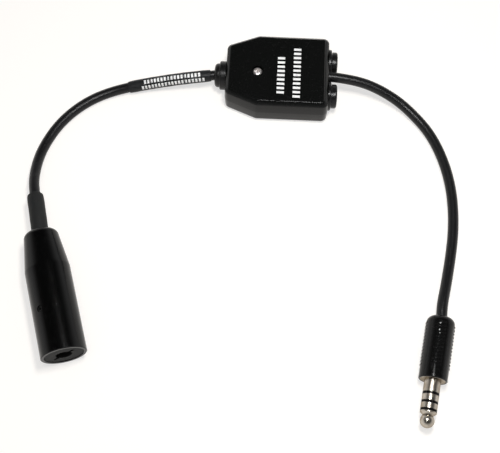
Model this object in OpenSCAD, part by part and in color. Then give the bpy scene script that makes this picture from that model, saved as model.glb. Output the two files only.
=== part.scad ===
// In-line adapter cord for a pilot's headset. A moulded box holds a matching transformer and
// a small amplifier board. One cord ends in a barrel socket with four leaf contacts, the other
// in a four-conductor plug with a ribbed handle.
// Millimetres. The origin is the centre of the box's bottom face, +X runs along the box
// towards the plug's cord, and +Z is up.

/* [Housing] */
// Length of the box
box_l = 51; // [48:1:60]
// Width of the box
box_w = 40.6; // [37:0.2:46]
// Height of the box below its raised panel
box_h = 16.3; // [16:0.1:20]
// Width of the narrow end's face
narrow_w = 27.6; // [24:0.2:32]
// Length of each slanted side along the box
slant_l = 15.7; // [12:0.1:18]
// Thickness of the walls, floor and roof
wall = 2; // [1.6:0.1:2.2]
// Radius of the upright corners
corner_r = 3.2; // [2.8:0.1:3.8]
// Height and width of the slope along the top and bottom edges
edge_c = 1.8; // [1:0.1:2]
// Radius of the rounding above and below that slope
edge_r = 1.2; // [0.2:0.1:1.6]
// Draft of the outer walls, in degrees
draft = 1.5; // [0.5:0.5:2]
// Height of the lip that lines up the two halves
lip_h = 0.8; // [0.4:0.1:1.2]
// Height of the raised panel
panel_h = 0.4; // [0.2:0.1:0.8]
// Where the raised panel starts, from the box's centre
panel_x = -3.7; // [-5:0.1:0]
// Length of the panel's sloped end
panel_slope = 2; // [1:0.1:3]
// Margin between the raised panel and the sloped edges
panel_margin = 0.1; // [0.1:0.1:1]

/* [Housing screw] */
// Place of the screw along the box
screw_x = -9.7; // [-11:0.1:-8]
// Place of the screw across the box
screw_y = -1.5; // [-2:0.1:0]
// Diameter of the screw's head
screw_head_d = 4.75; // [4:0.05:5.2]
// Height of the screw's head
screw_head_h = 1.2; // [0.8:0.1:1.4]
// Diameter of the screw's shank
screw_d = 2.9; // [2:0.1:3]
// Length of the screw's shank
screw_l = 11.5; // [10:0.5:12]

/* [Cord fittings] */
// Diameter of the collars against the end walls
collar_d = 14.2; // [13:0.1:14.6]
// Diameter of the fittings' outer discs
nose_d = 11.8; // [11:0.1:12.6]
// Diameter of the necks that pass through the walls
neck_d = 11; // [10:0.1:11.4]
// Thickness of the fittings' inner flanges
flange_t = 1.5; // [1:0.1:1.6]
// Thickness of the cord gland's collar
gland_collar_t = 3; // [2:0.1:4]
// Length of the cord gland's nose
gland_nose_l = 2.5; // [1.5:0.1:3]
// Thickness of a blanking plug's collar
blank_collar_t = 1.3; // [1:0.1:2]
// Length of a blanking plug's disc
blank_nose_l = 2.9; // [2:0.1:3.5]
// Distance between the two blanking plugs
blank_pitch = 18.8; // [18:0.1:20]
// Depth of the plug cord's hole below the box's top
exit_drop = 5.3; // [5.3:0.1:5.5]

/* [Board] */
// Length of the circuit board
board_l = 22; // [21:0.5:23]
// Width of the circuit board
board_w = 26; // [25:0.5:27]
// Thickness of the circuit board
board_t = 1.6; // [1:0.1:1.6]
// Height of the posts under the board
post_h = 2; // [1.5:0.1:2]
// Place of the board's centre along the box
board_x = 7; // [6.8:0.1:7.4]

/* [Cords] */
// Diameter of both cords
cord_d = 5; // [4.4:0.1:5]
// Outer diameter of the printed sleeve on the socket's cord
sleeve_d = 6; // [5.8:0.1:7]
// Outer diameter of the strain-relief boot behind the socket
boot_d = 7.8; // [7:0.1:9]
// Diameter of the insulated wires inside the cords
wire_d = 1.1; // [0.8:0.1:1.1]

/* [Socket] */
// Outer diameter of the socket's barrel
barrel_d = 20.3; // [19.6:0.1:22]
// Length of the barrel
barrel_l = 60; // [58:1:70]
// Length of the barrel's straight stretch
barrel_straight = 41; // [39:0.5:44]
// Diameter of the barrel's rear end, before its rounding
barrel_rear_d = 16; // [15:0.1:17]
// Radius of the rounding at the rear end
barrel_round = 3; // [1.5:0.1:3]
// Thickness of the barrel's rim
rim_t = 1.5; // [1.2:0.1:1.6]
// Depth of the insert's face below the rim
face_depth = 0.3; // [0.2:0.1:1.2]
// Thickness of the insert's front plate
plate_t = 2.6; // [2:0.1:2.8]
// Diameter of the socket's bore
socket_d = 7.3; // [7.2:0.02:7.5]
// Width of the two slots beside the bore
ear_w = 1.3; // [0.8:0.1:1.6]
// Distance between the outer ends of the two slots
ear_span = 12; // [11:0.1:12.6]
// Turn of the slots and contacts about the socket's axis, in degrees
contact_turn = 37; // [30:1:45]
// Distance of the leaf contacts from the socket's axis
leaf_r = 5.2; // [5:0.1:5.4]
// Width of a leaf contact
leaf_w = 2.4; // [1.8:0.1:2.6]
// Thickness of a leaf contact
leaf_t = 0.35; // [0.25:0.05:0.4]
// Distance of the contact block from the rim
block_at = 24; // [23.5:0.5:26]
// Length of the contact block
block_l = 7; // [5:0.5:8]
// Distance of the set screw's hole from the rim
set_screw_at = 20.6; // [10:0.2:21]
// Diameter of the set screw's hole
set_screw_d = 2.8; // [2:0.1:3]
// Turn of the set screw about the socket's axis, in degrees
set_screw_turn = 122; // [110:1:130]

/* [Plug] */
// Diameter of the plug's finger
finger_d = 7.14; // [6.9:0.02:7.16]
// Length of the sleeve contact in front of the handle
sleeve_l = 5.5; // [5:0.1:6]
// Length of the insulating collar after the sleeve
collar_1_l = 1.2; // [0.8:0.1:1.4]
// Length of the first ring contact
ring_1_l = 2.65; // [2.3:0.05:2.9]
// Length of the second insulating collar
collar_2_l = 1.1; // [0.8:0.1:1.3]
// Length of the second ring contact
ring_2_l = 2.35; // [2.2:0.05:2.6]
// Length of the third insulating collar
collar_3_l = 1.1; // [0.8:0.1:1.3]
// Diameter of the ball at the tip
ball_d = 6.2; // [5.6:0.1:6.6]
// Diameter of the neck behind the ball
neck_ball_d = 4.2; // [3.8:0.1:4.6]
// Distance of the ball's centre from the handle's front
ball_at = 17.8; // [17.6:0.1:18.4]
// Diameter of the handle between its ribs
handle_d = 12.6; // [12:0.1:13.4]
// Length of the handle
handle_l = 29; // [28:0.5:32]
// Radius of the rounding at the handle's rear
handle_round = 3; // [1.5:0.1:3.4]
// Diameter of the metal flange in the handle's front
flange_d = 11.2; // [10.6:0.1:11.4]
// Height of the grip ribs
rib_h = 0.25; // [0.1:0.05:0.4]
// Width of each column of ribs
rib_w = 3.6; // [2:0.1:5]
// Distance from one rib to the next
rib_pitch = 1.6; // [1.3:0.05:1.65]
// Number of ribs in a column
rib_count = 13; // [4:1:13]
// Distance of the first rib from the handle's front
rib_from = 6; // [5:0.1:7]

/* [Fits] */
// Clearance between pieces that slide or seat in one another
fit_gap = 0.05; // [0.03:0.01:0.1]
// Clearance round the cords, wires and screw
loose_gap = 0.15; // [0.1:0.01:0.2]

/* [Hidden] */
$fn = 48;

// Faces of a small round that is part of a blended shape
round_fn = 32;
// Sides of a cord's tube and of a wire's
cord_sides = 12;
wire_sides = 6;
// Overshoot of a cut, so that it passes its face
past = 1;

// Colours
black_plastic = [0.08, 0.08, 0.09];
black_rubber = [0.12, 0.12, 0.13];
grey_plastic = [0.33, 0.34, 0.34];
nickel = [0.78, 0.75, 0.70];
brass = [0.80, 0.64, 0.33];

// The board stands on posts from the floor
board_z = wall + post_h;
board_top = board_z + board_t;
// The halves meet at half height, and the roof is as thick as the walls
part_z = box_h / 2;
roof_z = box_h - wall;
exit_z = box_h - exit_drop;
// The inner flanges fit between the floor and the roof
flange_r = part_z - wall - fit_gap;

// The socket lies on the ground on its barrel, the plug on its ribs
socket_turn = 18;
socket_face = [-86.7, -147.4, barrel_d / 2];
plug_turn = -9.4;
plug_face = [73.2, -149.4, handle_d / 2 + rib_h];

// Depths below the handle's front at which the conductors lie once the plug is home
ring_1_from = sleeve_l + collar_1_l;
ring_1_to = ring_1_from + ring_1_l;
ring_2_from = ring_1_to + collar_2_l;
ring_2_to = ring_2_from + ring_2_l;
tip_from = ring_2_to + collar_3_l;
finger_r = finger_d / 2;
ball_r = ball_d / 2;
handle_r = handle_d / 2;
barrel_r = barrel_d / 2;
insert_r = barrel_r - rim_t;
socket_bore_r = barrel_r - rim_t - 0.45;
cord_r = cord_d / 2;
wire_r = wire_d / 2;

// Points of a circular arc in a plane
function arc(centre, r, from, to, steps = 5) =
    [for (i = [0:steps]) let (a = from + (to - from) * i / steps) centre + r * [cos(a), sin(a)]];

function unit(v) = v / norm(v);

// ---- Tubes along a route ----

// Direction of a route at its point i: square to the ends, and half way at each bend
function heading(p, i) =
    i == 0 ? unit(p[1] - p[0])
    : i == len(p) - 1 ? unit(p[i] - p[i - 1])
    : unit(unit(p[i + 1] - p[i]) + unit(p[i] - p[i - 1]));

// Side directions of all rings, carried along the route without twist
function ring_sides(p, i = 0, last = [0, 0, 1]) =
    i == len(p) ? []
    : let (h = heading(p, i), s = unit(last - (last * h) * h)) concat([s], ring_sides(p, i + 1, s));

function ring_points(p, r, n) =
    let (s = ring_sides(p))
    [for (i = [0:len(p) - 1], k = [0:n - 1])
        let (a = 360 * k / n) p[i] + r * (cos(a) * s[i] + sin(a) * cross(heading(p, i), s[i]))];

// Triangles of a tube's skin whose first point has the number m, facing out or in
function skin_faces(rings, n, m, out) =
    [for (i = [0:rings - 2], k = [0:n - 1])
        let (a = m + i * n + k, b = m + i * n + (k + 1) % n)
        each out ? [[a, a + n, b], [b, a + n, b + n]] : [[a, b, a + n], [b, b + n, a + n]]];

// Triangles that join an outer ring to an inner one at an end of a hollow tube
function end_faces(o, i, n, first) =
    [for (k = [0:n - 1]) let (j = (k + 1) % n)
        each first ? [[o + k, o + j, i + j], [o + k, i + j, i + k]]
            : [[o + k, i + j, o + j], [o + k, i + k, i + j]]];

module tube(p, r, n = cord_sides) {
    last = (len(p) - 1) * n;
    polyhedron(
        points = ring_points(p, r, n),
        faces = concat(
            [[for (k = [0:n - 1]) k]],
            skin_faces(len(p), n, 0, true),
            [[for (k = [n - 1:-1:0]) last + k]]));
}

module hollow_tube(p, r, hole_r, n = cord_sides) {
    inner = len(p) * n;
    last = (len(p) - 1) * n;
    polyhedron(
        points = concat(ring_points(p, r, n), ring_points(p, hole_r, n)),
        faces = concat(
            skin_faces(len(p), n, 0, true),
            skin_faces(len(p), n, inner, false),
            end_faces(0, inner, n, true),
            end_faces(last, inner + last, n, false)));
}

// A straight round rod from a to b
module rod(a, b, r) {
    d = b - a;
    translate(a) rotate([0, acos(d[2] / norm(d)), atan2(d[1], d[0])]) cylinder(r = r, h = norm(d));
}

// ---- Places ----

// Children's +Z points out of the socket's mouth or out of the plug's handle
module at_socket() translate(socket_face) rotate([90, 0, socket_turn]) children();
module at_plug() translate(plug_face) rotate([90, 0, plug_turn]) children();

// A point on the socket's axis, s in front of the rim, and on the plug's, s in front of its handle
function on_socket(s) = socket_face + s * [sin(socket_turn), -cos(socket_turn), 0];
function on_plug(s) = plug_face + s * [sin(plug_turn), -cos(plug_turn), 0];

// Children's +Z points out of the box's narrow end or its wide end
module at_narrow_end(y = 0, z = part_z) translate([-box_l / 2, y, z]) rotate([0, -90, 0]) children();
module at_wide_end(y = 0, z = part_z) translate([box_l / 2, y, z]) rotate([0, 90, 0]) children();

// ---- Cord routes ----

// Where each cord ends inside the box, the socket and the plug
cord_in_box = 8.5;
cord_in_socket = 44;
cord_in_plug = 21;
gland_l = gland_collar_t + gland_nose_l;

socket_route = concat(
    [[-box_l / 2 + cord_in_box, 0, part_z], [-box_l / 2 - gland_l, 0, part_z]],
    [[-box_l / 2 - gland_l - 2, -0.3, part_z - 0.05]],
    [[-42, -1.6, 7.7], [-53, -2.8, 6.2], [-64, -4.3, 4.5], [-74, -6.3, 3.3],
        [-83.3, -9.3, 2.6], [-92, -14.1, 2.5], [-99.8, -20.8, 2.5], [-106, -28.7, 2.5],
        [-110.5, -37.6, 2.5], [-113, -46.6, 3.3], [-113.5, -54.8, 5], [-112.7, -63.3, 7.3],
        [-110.6, -71.4, 9.2], [-107.9, -80.7, 10.1]],
    [on_socket(-barrel_l), on_socket(-barrel_l + 8), on_socket(-cord_in_socket)]);

plug_route = concat(
    [[box_l / 2 - cord_in_box, 0, exit_z], [box_l / 2, 0, exit_z]],
    [[box_l / 2 + 8.5, -0.8, exit_z - 0.1], [43.5, -2.3, 9.8], [52.7, -5.3, 7.8], [61.2, -9.7, 5.4],
        [68.6, -15.8, 3.5], [75, -23.5, 2.6], [80, -33.4, 2.5], [83.4, -44, 2.5],
        [85.4, -55.2, 2.5], [86, -66, 2.5], [85.6, -76.5, 2.5], [84.3, -87, 2.6],
        [82.4, -97.3, 3.5], [80.3, -107, 5.1], [78.5, -115.6, 6.4]],
    [on_plug(-handle_l), on_plug(-cord_in_plug)]);

// The sleeve lies on the route's points 2 to 6, the boot on 15, 16 and into the barrel
sleeve_route = [for (i = [2:6]) socket_route[i]];
boot_route = concat([for (i = [15:17]) socket_route[i]], [on_socket(-barrel_l + 3)]);

// A hole in a tube that its own cord passes with a gap, whatever the turn of its sides
function tube_hole(r) = (r + fit_gap) / cos(180 / cord_sides);

// ---- Housing ----

// Outline of the box drawn in by d, its slanted sides kept parallel
slant_w = (box_w - narrow_w) / 2;
slant_n = [slant_w, slant_l] / norm([slant_w, slant_l]);
function narrow_y(d) = narrow_w / 2 - d * (1 - slant_n[0]) / slant_n[1];
function slant_x(d) = -box_l / 2 + (d + (slant_w - d) * slant_n[1]) / slant_n[0];
function outline(d) = let (x = box_l / 2 - d, y = box_w / 2 - d) [
    [-x, -narrow_y(d)], [slant_x(d), -y], [x, -y], [x, y], [slant_x(d), y], [-x, narrow_y(d)]];

// Half of the outer block, from the parting line up: each upright corner is a turned post. Its
// side leans in by the draft and ends in a slope at 45 degrees, rounded above and below
module outer_half(h) {
    side_r = corner_r - h * tan(draft);
    turn = edge_r * tan(22.5);
    hull() for (p = outline(corner_r)) translate(p)
        rotate_extrude($fn = round_fn)
        polygon(concat([[0, 0], [corner_r, 0]],
            arc([side_r - edge_r, h - edge_c - turn], edge_r, 0, 45, 3),
            arc([side_r - edge_c - turn, h - edge_r], edge_r, 45, 90, 3),
            [[0, h]]));
}

// A ring of the wall that stands h high on the parting line, between two depths from outside
module wall_ring(d_out, d_in, h) translate([0, 0, part_z]) linear_extrude(h)
    difference() {
        polygon(outline(d_out));
        polygon(outline(d_in));
    }

module raised_panel() {
    margin = edge_c + panel_margin + (box_h - part_z) * tan(draft);
    x0 = panel_x;
    x1 = box_l / 2 - margin;
    y1 = box_w / 2 - margin;
    r = corner_r - edge_c;
    top = box_h + panel_h;
    foot = box_h - wall / 2;
    intersection() {
        translate([0, y1, 0]) rotate([90, 0, 0]) linear_extrude(2 * y1)
            polygon([[x0, foot], [x0, box_h], [x0 + panel_slope, top], [x1 - panel_h, top],
                [x1, box_h], [x1, foot]]);
        translate([x0, 0, 0]) rotate([90, 0, 90]) linear_extrude(x1 - x0)
            polygon([[-y1, foot], [-y1, box_h], [-y1 + panel_h, top], [y1 - panel_h, top],
                [y1, box_h], [y1, foot]]);
        translate([0, 0, foot]) linear_extrude(top - foot) {
            translate([x0, -y1]) square([x1 - r - x0, 2 * y1]);
            translate([x0, -y1 + r]) square([x1 - x0, 2 * (y1 - r)]);
            for (s = [-1, 1]) translate([x1 - r, s * (y1 - r)]) circle(r = r);
        }
    }
}

// Holes through the end walls, in both halves
module end_wall_holes() {
    at_narrow_end() translate([0, 0, -wall - past]) cylinder(d = neck_d + 2 * fit_gap, h = wall + 2 * past);
    for (s = [-1, 1]) at_wide_end(s * blank_pitch / 2)
        translate([0, 0, -wall - past]) cylinder(d = neck_d + 2 * fit_gap, h = wall + 2 * past);
    at_wide_end(0, exit_z)
        translate([0, 0, -wall - past]) cylinder(d = cord_d + 2 * loose_gap, h = wall + 2 * past);
}

// The screw's bosses meet at the parting line, and so do the two posts that line up the halves
boss_r = 3.5;
peg_x = 10;
peg_y = box_w / 2 - wall - 1.9;
peg_post_r = 2;
peg_r = 1;
peg_l = 3;
head_z = box_h - screw_head_h - 0.1;

module housing_upper() color(black_plastic) difference() {
    union() {
        difference() {
            union() {
                translate([0, 0, part_z]) outer_half(box_h - part_z);
                raised_panel();
            }
            translate([0, 0, part_z - past]) linear_extrude(roof_z - part_z + past) polygon(outline(wall));
        }
        translate([screw_x, screw_y, part_z]) cylinder(r = boss_r, h = roof_z - part_z + wall / 2);
        for (s = [-1, 1]) translate([peg_x, s * peg_y, 0]) {
            translate([0, 0, part_z]) cylinder(r = peg_post_r, h = roof_z - part_z + wall / 2);
            translate([0, 0, part_z - peg_l]) cylinder(r = peg_r, h = peg_l + past);
        }
    }
    translate([0, 0, -past]) wall_ring(wall / 2 - fit_gap, wall + past, lip_h + fit_gap + past);
    end_wall_holes();
    translate([screw_x, screw_y, head_z]) cylinder(d = screw_head_d + 0.8, h = wall + past);
    translate([screw_x, screw_y, part_z - past]) cylinder(d = screw_d + 2 * loose_gap, h = box_h);
}

module housing_lower() color(black_plastic) difference() {
    union() {
        difference() {
            translate([0, 0, part_z]) mirror([0, 0, 1]) outer_half(part_z);
            translate([0, 0, wall]) linear_extrude(part_z) polygon(outline(wall));
        }
        wall_ring(wall / 2, wall, lip_h);
        translate([screw_x, screw_y, wall / 2]) cylinder(r = boss_r, h = part_z - wall / 2);
        for (s = [-1, 1]) translate([peg_x, s * peg_y, wall / 2])
            cylinder(r = peg_post_r, h = part_z - wall / 2);
        board_posts();
    }
    end_wall_holes();
    translate([screw_x, screw_y, head_z - screw_l - 0.5]) cylinder(d = screw_d + 2 * fit_gap, h = box_h);
    for (s = [-1, 1]) translate([peg_x, s * peg_y, part_z - peg_l - 0.3])
        cylinder(r = peg_r + fit_gap, h = box_h);
}

module housing_screw() color(nickel) translate([screw_x, screw_y, head_z]) difference() {
    union() {
        cylinder(d = screw_head_d, h = screw_head_h);
        translate([0, 0, -screw_l]) cylinder(d = screw_d, h = screw_l + screw_head_h / 2);
    }
    for (a = [25, 115]) rotate(a) translate([-1.4, -0.35, screw_head_h / 2]) cube([2.8, 0.7, past]);
}

// A rubber fitting in a hole of the wall, turned about its own axis: inner flange, neck, collar,
// a groove of a given length and an outer disc, whose rim is rounded by rim_r
module fitting(collar_t, groove_t, nose_l, rim_r, bore_r = 0) {
    soft = 0.6;
    neck_r = neck_d / 2;
    nose_z = collar_t + groove_t;
    rotate_extrude() polygon(concat(
        [[bore_r, -wall - flange_t], [flange_r, -wall - flange_t], [flange_r, -wall - fit_gap],
            [neck_r, -wall - fit_gap], [neck_r, 0], [collar_d / 2, 0]],
        arc([collar_d / 2 - soft, collar_t - soft], soft, 0, 90, 4),
        groove_t > 0 ? [[neck_r - 0.3, collar_t], [neck_r - 0.3, nose_z], [nose_d / 2, nose_z]]
            : [[nose_d / 2, nose_z]],
        arc([nose_d / 2 - rim_r, nose_z + nose_l - rim_r], rim_r, 0, 90, 5),
        [[bore_r, nose_z + nose_l]]));
}

// Rounding of the fittings' outer rims, and the groove that parts a blanking plug's two discs
gland_rim_r = 1.6;
blank_rim_r = 0.9;
blank_groove = 0.4;

module cord_gland() color(black_rubber)
    at_narrow_end() fitting(gland_collar_t, 0, gland_nose_l, gland_rim_r, cord_r + fit_gap);
module blanking_plug(side) color(black_rubber)
    at_wide_end(side * blank_pitch / 2)
        fitting(blank_collar_t, blank_groove, blank_nose_l - blank_groove, blank_rim_r);
module blanking_plug_far() blanking_plug(1);
module blanking_plug_near() blanking_plug(-1);

// ---- Board and what stands on it ----

// The board's posts end in pegs that pass through its corner holes
post_r = 1.8;
post_peg_r = 0.9;
post_in = 1.8;
module board_corners() for (sx = [-1, 1], sy = [-1, 1])
    translate([board_x + sx * (board_l / 2 - post_in), sy * (board_w / 2 - post_in), 0]) children();

module board_posts() board_corners() {
    translate([0, 0, wall / 2]) cylinder(r = post_r, h = board_z - wall / 2);
    cylinder(r = post_peg_r, h = board_top + 0.6);
}

// Pads where the cords' wires meet the board, two columns at its edge and two in its middle
pad_edge_x = board_x - board_l / 2 + 1.3;
pad_r = 0.9;
edge_pads = [[pad_edge_x, -9.2], [pad_edge_x, -6.6], [pad_edge_x, 3.8], [pad_edge_x, 6.6]];
pad_far_x = board_x + 8;
pad_mid_x = board_x + 4;
mid_pads = [[pad_far_x, -1.8], [pad_mid_x, -1.8], [pad_far_x, -0.1], [pad_mid_x, -0.1]];

module circuit_board() color([0.10, 0.36, 0.20]) difference() {
    translate([board_x - board_l / 2, -board_w / 2, board_z]) cube([board_l, board_w, board_t]);
    board_corners() translate([0, 0, board_z - past])
        cylinder(r = post_peg_r + fit_gap, h = board_t + 2 * past);
}

// A laminated core with two windows, and a coil on its middle leg. It clears the roof
core_clear = 1.2;
core_size = [13, 5, roof_z - core_clear - board_top];
core_leg = 3.4;
core_rim = 1.7;
core_at = [board_x + 3.6, -7.7, board_top];
window_w = (core_size[0] - core_leg) / 2 - core_rim;
window_h = core_size[2] - 2 * core_rim;
coil_build = 2;

module transformer_core() color([0.42, 0.43, 0.45]) translate(core_at) difference() {
    translate([-core_size[0] / 2, -core_size[1] / 2, 0]) cube(core_size);
    for (s = [-1, 1]) translate([s * (core_leg + window_w) / 2 - window_w / 2, -core_size[1], core_rim])
        cube([window_w, 2 * core_size[1], window_h]);
}

module transformer_coil() color([0.62, 0.28, 0.14]) translate(core_at) difference() {
    coil_x = core_leg / 2 + window_w - fit_gap;
    coil_y = core_size[1] / 2 + coil_build;
    r = coil_build / 2;
    translate([0, 0, core_rim + fit_gap]) linear_extrude(window_h - 2 * fit_gap) {
        translate([-coil_x, -coil_y + r]) square([2 * coil_x, 2 * (coil_y - r)]);
        translate([-coil_x + r, -coil_y]) square([2 * (coil_x - r), 2 * coil_y]);
        for (sx = [-1, 1], sy = [-1, 1]) translate([sx * (coil_x - r), sy * (coil_y - r)]) circle(r = r);
    }
    leg = [core_leg + 2 * fit_gap, core_size[1] + 2 * fit_gap, core_size[2]];
    translate([-leg[0] / 2, -leg[1] / 2, 0]) cube(leg);
}

// Round cans that stand on the board, with a rolled groove near the foot
can_d = 5;
can_h = 7;
cans_at = [[board_x - 5.8, -9.7], [board_x - 5.8, -3.6]];
module capacitors() color([0.16, 0.20, 0.42]) for (p = cans_at) translate([p[0], p[1], board_top])
    rotate_extrude() polygon([[0, 0], [can_d / 2, 0], [can_d / 2, 0.9], [can_d / 2 - 0.3, 1.2],
        [can_d / 2 - 0.3, 1.5], [can_d / 2, 1.8], [can_d / 2, can_h - 0.3], [can_d / 2 - 0.3, can_h],
        [0, can_h]]);

// Round bodies with a bent lead at each end
resistor_d = 2.2;
resistor_l = 5.5;
resistor_pitch = 2.8;
module resistor() {
    lead_r = 0.3;
    reach = resistor_l / 2 + 0.8;
    lift = resistor_d / 2 + 0.2;
    translate([0, 0, lift]) rotate([0, 90, 0]) {
        cylinder(d = resistor_d, h = resistor_l, center = true);
        cylinder(r = lead_r, h = 2 * reach, center = true);
    }
    for (s = [-1, 1]) translate([s * reach, 0, 0]) {
        cylinder(r = lead_r, h = lift);
        translate([0, 0, lift]) sphere(r = lead_r);
    }
}
module resistors() color([0.78, 0.66, 0.45]) for (i = [0:3])
    translate([board_x + 4.5, 1.8 + i * resistor_pitch, board_top]) resistor();

// A chip on two rows of legs
chip_size = [6.2, 9.4, 3];
chip_at = [board_x - 4.9, 6.2, board_top];
module amplifier_chip() color([0.10, 0.10, 0.11]) translate(chip_at) {
    translate([-chip_size[0] / 2, -chip_size[1] / 2, 0.5]) difference() {
        cube(chip_size);
        translate([chip_size[0] / 2, 0, chip_size[2]]) cylinder(r = 0.8, h = past, center = true);
    }
    for (s = [-1, 1], i = [-1.5:1.5]) translate([s * (chip_size[0] / 2 + 0.35), i * 2.4, 0]) {
        translate([-0.15, -0.4, 0]) cube([0.3, 0.8, 2.1]);
        translate([s > 0 ? -0.5 : -0.15, -0.4, 1.8]) cube([0.65, 0.8, 0.3]);
    }
}

// Nylon ties round each cord's inner end, so that a pull stops at the wall
tie_w = 2.4;
tie_t = 0.6;
tie_in = 3.9;
module cord_tie() {
    tie_r = cord_r + loose_gap;
    difference() {
        union() {
            cylinder(r = tie_r + tie_t, h = tie_w);
            translate([tie_r - 0.2, -1.5, 0]) cube([2.2, 3, tie_w]);
        }
        translate([0, 0, -past]) cylinder(r = tie_r, h = tie_w + 2 * past);
    }
}
module cord_ties() color([0.82, 0.82, 0.78]) {
    translate([-box_l / 2 + tie_in, 0, part_z]) rotate([0, 90, 0]) cord_tie();
    translate([box_l / 2 - tie_in - tie_w, 0, exit_z]) rotate([0, 90, 0]) cord_tie();
}

// Four wires from each cord's end down to the board's pads
module board_leads() {
    left_x = -box_l / 2 + cord_in_box;
    lead_colours = ["white", "red", "royalblue", "gold"];
    for (i = [0:3]) {
        side = i < 2 ? -1 : 1;
        up = i % 2 == 0 ? 1 : -1;
        pad = edge_pads[i];
        pass_y = screw_y + side * (boss_r + (i == 0 || i == 3 ? 2.5 : 1.2));
        color(lead_colours[i]) tube([[left_x, side, part_z + up], [left_x + 0.6, side, part_z + up],
            [left_x + 1.8, side * 2.4, part_z + up * 0.9], [screw_x - 3.2, pass_y * 0.85, part_z + up * 0.8],
            [screw_x, pass_y, part_z + up * 0.8], [pad[0] - 1.6, pad[1], part_z + up * 0.6 - 0.6],
            [pad[0], pad[1], board_top + 1.4], [pad[0], pad[1], board_top]], wire_r, wire_sides);
    }
    right_x = box_l / 2 - cord_in_box;
    for (i = [0:3]) {
        side = i < 2 ? -1 : 1;
        up = i % 2 == 0 ? -1 : 1;
        pad = mid_pads[i];
        color(lead_colours[i]) tube([[right_x, side * 0.85, exit_z + up * 0.85],
            [right_x - 0.6, side * 0.85, exit_z + up * 0.85],
            [(right_x + pad[0]) / 2, (side * 0.85 + pad[1]) / 2, exit_z + up * 0.85 - 0.3],
            [pad[0] + 0.4, pad[1], exit_z + up * 1.2 - 1.4], [pad[0], pad[1], board_top + 2],
            [pad[0], pad[1], board_top]], wire_r, wire_sides);
    }
}

// ---- Socket's cord ----

module socket_cord() color(black_rubber) tube(socket_route, cord_r);
module printed_sleeve() color(black_plastic)
    hollow_tube(sleeve_route, sleeve_d / 2, tube_hole(cord_r));
module socket_boot() color([0.20, 0.20, 0.21])
    hollow_tube(boot_route, boot_d / 2, tube_hole(cord_r));

// ---- Socket ----

// The set screw's hole, from the socket's axis outwards, to a given diameter
module set_screw_hole(d) rotate(set_screw_turn) translate([0, 0, -set_screw_at])
    rotate([0, 90, 0]) cylinder(d = d, h = barrel_d, $fn = round_fn);

// Turned shell: rim, seat for the insert, straight body, taper and rounded rear end. A set screw
// in its side holds the insert by one of its rails
module socket_barrel() color(black_plastic) at_socket() difference() {
    rear_r = barrel_rear_d / 2;
    rear_hole_r = boot_d / 2 + fit_gap;
    seat = face_depth + plate_t;
    round_r = barrel_round;
    rotate_extrude() polygon(concat(
        [[insert_r, -seat], [insert_r, -0.2], [insert_r + 0.2, 0], [barrel_r - 0.3, 0], [barrel_r, -0.3],
            [barrel_r, -barrel_straight]],
        arc([rear_r - round_r, -barrel_l + round_r], round_r, 0, -90, 6),
        [[rear_hole_r, -barrel_l], [rear_hole_r, -barrel_l + 3], [rear_r - 2.4, -barrel_l + 3.5],
            [socket_bore_r, -barrel_straight + 1], [socket_bore_r, -seat]]));
    set_screw_hole(set_screw_d);
}

// The insert's plate and the two rails that carry the contact block
insert_gap_r = insert_r - fit_gap;
block_r = socket_bore_r - 0.15;
rail_in_r = leaf_r + leaf_t + 1;
rail_w = 5.2;
module socket_insert() color(grey_plastic) at_socket() {
    difference() {
        translate([0, 0, -face_depth - plate_t]) cylinder(r = insert_gap_r, h = plate_t);
        translate([0, 0, -face_depth - plate_t - past]) cylinder(d = socket_d, h = plate_t + 2 * past);
        rotate(contact_turn) translate([-ear_span / 2, -ear_w / 2, -face_depth - plate_t - past])
            cube([ear_span, ear_w, plate_t + 2 * past]);
    }
    rail_l = block_at - face_depth - plate_t;
    intersection() {
        translate([0, 0, -block_at]) difference() {
            cylinder(r = block_r, h = rail_l + 0.5);
            translate([0, 0, -past]) cylinder(r = rail_in_r, h = rail_l + 2 * past);
        }
        rotate(set_screw_turn) translate([-barrel_r, -rail_w / 2, -block_at])
            cube([barrel_d, rail_w, rail_l + 0.5]);
    }
}

module four_contacts() for (a = [0:90:270]) rotate(contact_turn + a) children();

// The block clamps the four contacts and has an open middle
module contact_block() color([0.16, 0.16, 0.17]) at_socket() difference() {
    translate([0, 0, -block_at - block_l]) cylinder(r = block_r, h = block_l);
    translate([0, 0, -block_at - block_l - past]) cylinder(r = 2.2, h = block_l + 2 * past);
    four_contacts() translate([leaf_r - fit_gap, -leaf_w / 2 - fit_gap, -block_at - block_l - past])
        cube([leaf_t + 2 * fit_gap, leaf_w + 2 * fit_gap, block_l + 2 * past]);
}

// Each contact's tail runs through the block to a solder eye
tail_l = block_l + 4.5;
module contact_tails() color(brass) at_socket() four_contacts()
    translate([leaf_r, 0, -block_at - tail_l]) difference() {
        translate([0, -leaf_w / 2, 0]) cube([leaf_t, leaf_w, tail_l]);
        translate([-past, 0, 1.2]) rotate([0, 90, 0]) cylinder(r = 0.5, h = leaf_t + 2 * past);
    }

// A leaf from the block's face to its bend: the bend dips to bend_r at depth s behind the rim
leaf_root = -block_at + 0.1;
module leaf(s, bend_r, dip = 3) {
    flat = [[leaf_r, leaf_root], [leaf_r, s - dip], [bend_r + 0.2, s - 0.35], [bend_r, s],
        [bend_r + 0.2, s + 0.35], [min(bend_r + 1.4, leaf_r), s + 1.5]];
    back = [for (i = [len(flat) - 1:-1:0]) flat[i] + [leaf_t, 0]];
    rotate([90, 0, 0]) translate([0, 0, -leaf_w / 2]) linear_extrude(leaf_w) polygon(concat(flat, back));
}

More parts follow.
